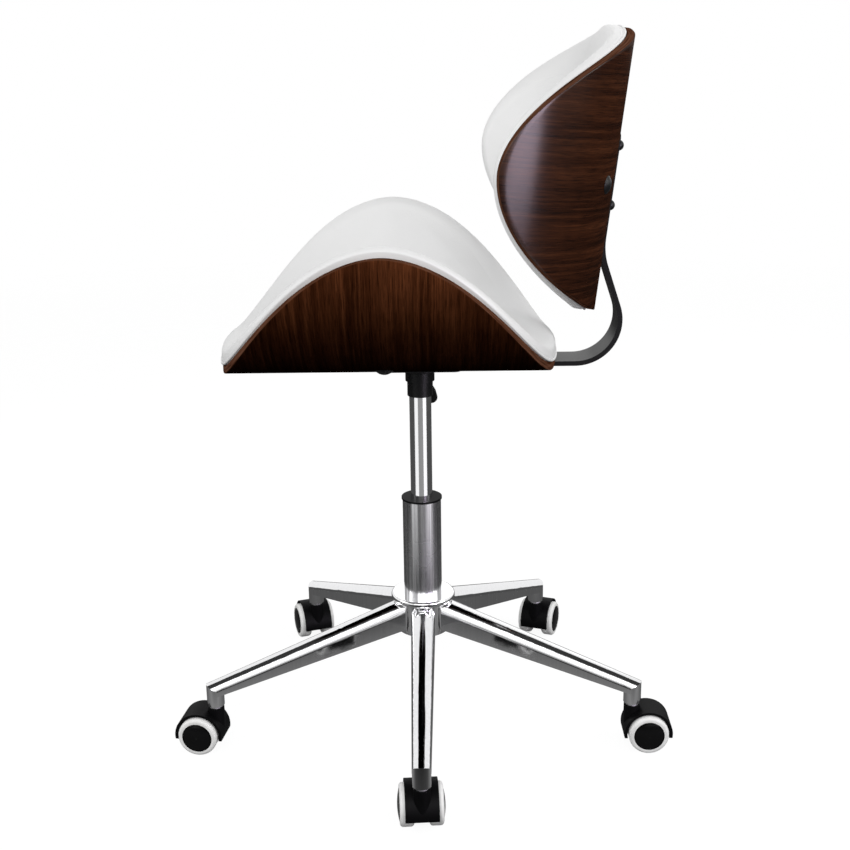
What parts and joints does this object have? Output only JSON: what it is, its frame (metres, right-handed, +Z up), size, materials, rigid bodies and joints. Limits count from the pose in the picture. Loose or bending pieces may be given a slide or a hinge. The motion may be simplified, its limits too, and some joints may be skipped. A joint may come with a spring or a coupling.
{
  "type": "office chair",
  "caption": "Height-adjustable swivel office chair: curved bent-ply seat and back shells with thick white pads, flat steel back bar, gas lift and chromed star base on twin-wheel casters.",
  "frame": {"origin": "on the floor, under the axis of the gas lift", "axes": "+Z up along the gas lift, the sitter faces -X, and +Y is to the side away from the picture's camera"},
  "size_m": [0.6417, 0.5782, 0.8948],
  "materials": {
    "walnut_ply": "satin",
    "white_leather": "satin",
    "black_steel": "satin",
    "chrome": "polished",
    "steel": "satin",
    "black_plastic": "satin",
    "gloss_black": "gloss",
    "white_tyre": "matte",
    "black_rubber": "matte"
  },
  "bodies": {
    "base": {"star_base": "chrome", "caster_sleeves": "black_plastic", "column_tube": "chrome", "guide_bush": "black_plastic"},
    "lift_rod": {"piston_rod": "steel", "thrust_bearing": "steel", "buffer": "black_rubber", "retaining_clip": "steel"},
    "seat": {"gas_cylinder": "chrome", "cylinder_bush": "black_plastic", "seat_plate": "black_steel", "plate_bolts": "black_steel", "lever_pin": "steel", "seat_shell": "walnut_ply", "seat_pad": "white_leather", "back_bar": "black_steel", "bar_bolts": "black_steel", "back_shell": "walnut_ply", "back_pad": "white_leather", "pad_bolts": "black_steel", "tee_nuts": "steel"},
    "valve": {"valve_pin": "steel"},
    "lever": {"lever_rod": "black_steel", "lever_grip": "black_plastic"},
    "caster_1": {"caster_1_hood": "black_plastic", "caster_1_stem": "steel", "caster_1_axle": "steel"},
    "caster_1_left": {"caster_1_wheel_left": "gloss_black", "caster_1_tyre_left": "white_tyre"},
    "caster_1_right": {"caster_1_wheel_right": "gloss_black", "caster_1_tyre_right": "white_tyre"},
    "caster_2": {"caster_2_hood": "black_plastic", "caster_2_stem": "steel", "caster_2_axle": "steel"},
    "caster_2_left": {"caster_2_wheel_left": "gloss_black", "caster_2_tyre_left": "white_tyre"},
    "caster_2_right": {"caster_2_wheel_right": "gloss_black", "caster_2_tyre_right": "white_tyre"},
    "caster_3": {"caster_3_hood": "black_plastic", "caster_3_stem": "steel", "caster_3_axle": "steel"},
    "caster_3_left": {"caster_3_wheel_left": "gloss_black", "caster_3_tyre_left": "white_tyre"},
    "caster_3_right": {"caster_3_wheel_right": "gloss_black", "caster_3_tyre_right": "white_tyre"},
    "caster_4": {"caster_4_hood": "black_plastic", "caster_4_stem": "steel", "caster_4_axle": "steel"},
    "caster_4_left": {"caster_4_wheel_left": "gloss_black", "caster_4_tyre_left": "white_tyre"},
    "caster_4_right": {"caster_4_wheel_right": "gloss_black", "caster_4_tyre_right": "white_tyre"},
    "caster_5": {"caster_5_hood": "black_plastic", "caster_5_stem": "steel", "caster_5_axle": "steel"},
    "caster_5_left": {"caster_5_wheel_left": "gloss_black", "caster_5_tyre_left": "white_tyre"},
    "caster_5_right": {"caster_5_wheel_right": "gloss_black", "caster_5_tyre_right": "white_tyre"}
  },
  "joints": [
    {"name": "seat_swivel", "type": "hinge", "parent": "base", "child": "lift_rod", "pos_m": [0, 0, 0.1317], "axis": [0, 0, 1], "continuous": true},
    {"name": "seat_lift", "type": "slide", "parent": "lift_rod", "child": "seat", "axis": [0, 0, 1], "range_m": [-0.1, 0]},
    {"name": "lever_pull", "type": "hinge", "parent": "seat", "child": "lever", "pos_m": [0.00103, 0.01547, 0.4758], "axis": [0.9978, -0.0663, 0], "range_deg": [0, 9], "stiffness_Nm_per_rad": 1.5, "springref_deg": -5.73},
    {"name": "valve_press", "type": "slide", "parent": "seat", "child": "valve", "axis": [0, 0, 1], "range_m": [-0.0026, 0]},
    {"name": "caster_1_swivel", "type": "hinge", "parent": "base", "child": "caster_1", "pos_m": [0, -0.2825, 0.0625], "axis": [0, 0, 1], "continuous": true},
    {"name": "caster_1_left_roll", "type": "hinge", "parent": "caster_1", "child": "caster_1_left", "pos_m": [-0.00139, -0.26255, 0.0255], "axis": [-0.9976, -0.0698, 0], "continuous": true},
    {"name": "caster_1_right_roll", "type": "hinge", "parent": "caster_1", "child": "caster_1_right", "pos_m": [-0.00139, -0.26255, 0.0255], "axis": [-0.9976, -0.0698, 0], "continuous": true},
    {"name": "caster_2_swivel", "type": "hinge", "parent": "base", "child": "caster_2", "pos_m": [0.26867, -0.0873, 0.0625], "axis": [0, 0, 1], "continuous": true},
    {"name": "caster_2_left_roll", "type": "hinge", "parent": "caster_2", "child": "caster_2_left", "pos_m": [0.28867, -0.0873, 0.0255], "axis": [0, 1, 0], "continuous": true},
    {"name": "caster_2_right_roll", "type": "hinge", "parent": "caster_2", "child": "caster_2_right", "pos_m": [0.28867, -0.0873, 0.0255], "axis": [0, 1, 0], "continuous": true},
    {"name": "caster_3_swivel", "type": "hinge", "parent": "base", "child": "caster_3", "pos_m": [0.16605, 0.22855, 0.0625], "axis": [0, 0, 1], "continuous": true},
    {"name": "caster_3_left_roll", "type": "hinge", "parent": "caster_3", "child": "caster_3_left", "pos_m": [0.17289, 0.24734, 0.0255], "axis": [-0.9397, 0.342, 0], "continuous": true},
    {"name": "caster_3_right_roll", "type": "hinge", "parent": "caster_3", "child": "caster_3_right", "pos_m": [0.17289, 0.24734, 0.0255], "axis": [-0.9397, 0.342, 0], "continuous": true},
    {"name": "caster_4_swivel", "type": "hinge", "parent": "base", "child": "caster_4", "pos_m": [-0.16605, 0.22855, 0.0625], "axis": [0, 0, 1], "continuous": true},
    {"name": "caster_4_left_roll", "type": "hinge", "parent": "caster_4", "child": "caster_4_left", "pos_m": [-0.17289, 0.24734, 0.0255], "axis": [-0.9397, -0.342, 0], "continuous": true},
    {"name": "caster_4_right_roll", "type": "hinge", "parent": "caster_4", "child": "caster_4_right", "pos_m": [-0.17289, 0.24734, 0.0255], "axis": [-0.9397, -0.342, 0], "continuous": true},
    {"name": "caster_5_swivel", "type": "hinge", "parent": "base", "child": "caster_5", "pos_m": [-0.26867, -0.0873, 0.0625], "axis": [0, 0, 1], "continuous": true},
    {"name": "caster_5_left_roll", "type": "hinge", "parent": "caster_5", "child": "caster_5_left", "pos_m": [-0.28848, -0.08451, 0.0255], "axis": [-0.1392, -0.9903, 0], "continuous": true},
    {"name": "caster_5_right_roll", "type": "hinge", "parent": "caster_5", "child": "caster_5_right", "pos_m": [-0.28848, -0.08451, 0.0255], "axis": [-0.1392, -0.9903, 0], "continuous": true}
  ],
  "couplings": [
    {"joint": "valve_press", "follows": "lever_pull", "m_per_rad": -0.0155}
  ]
}
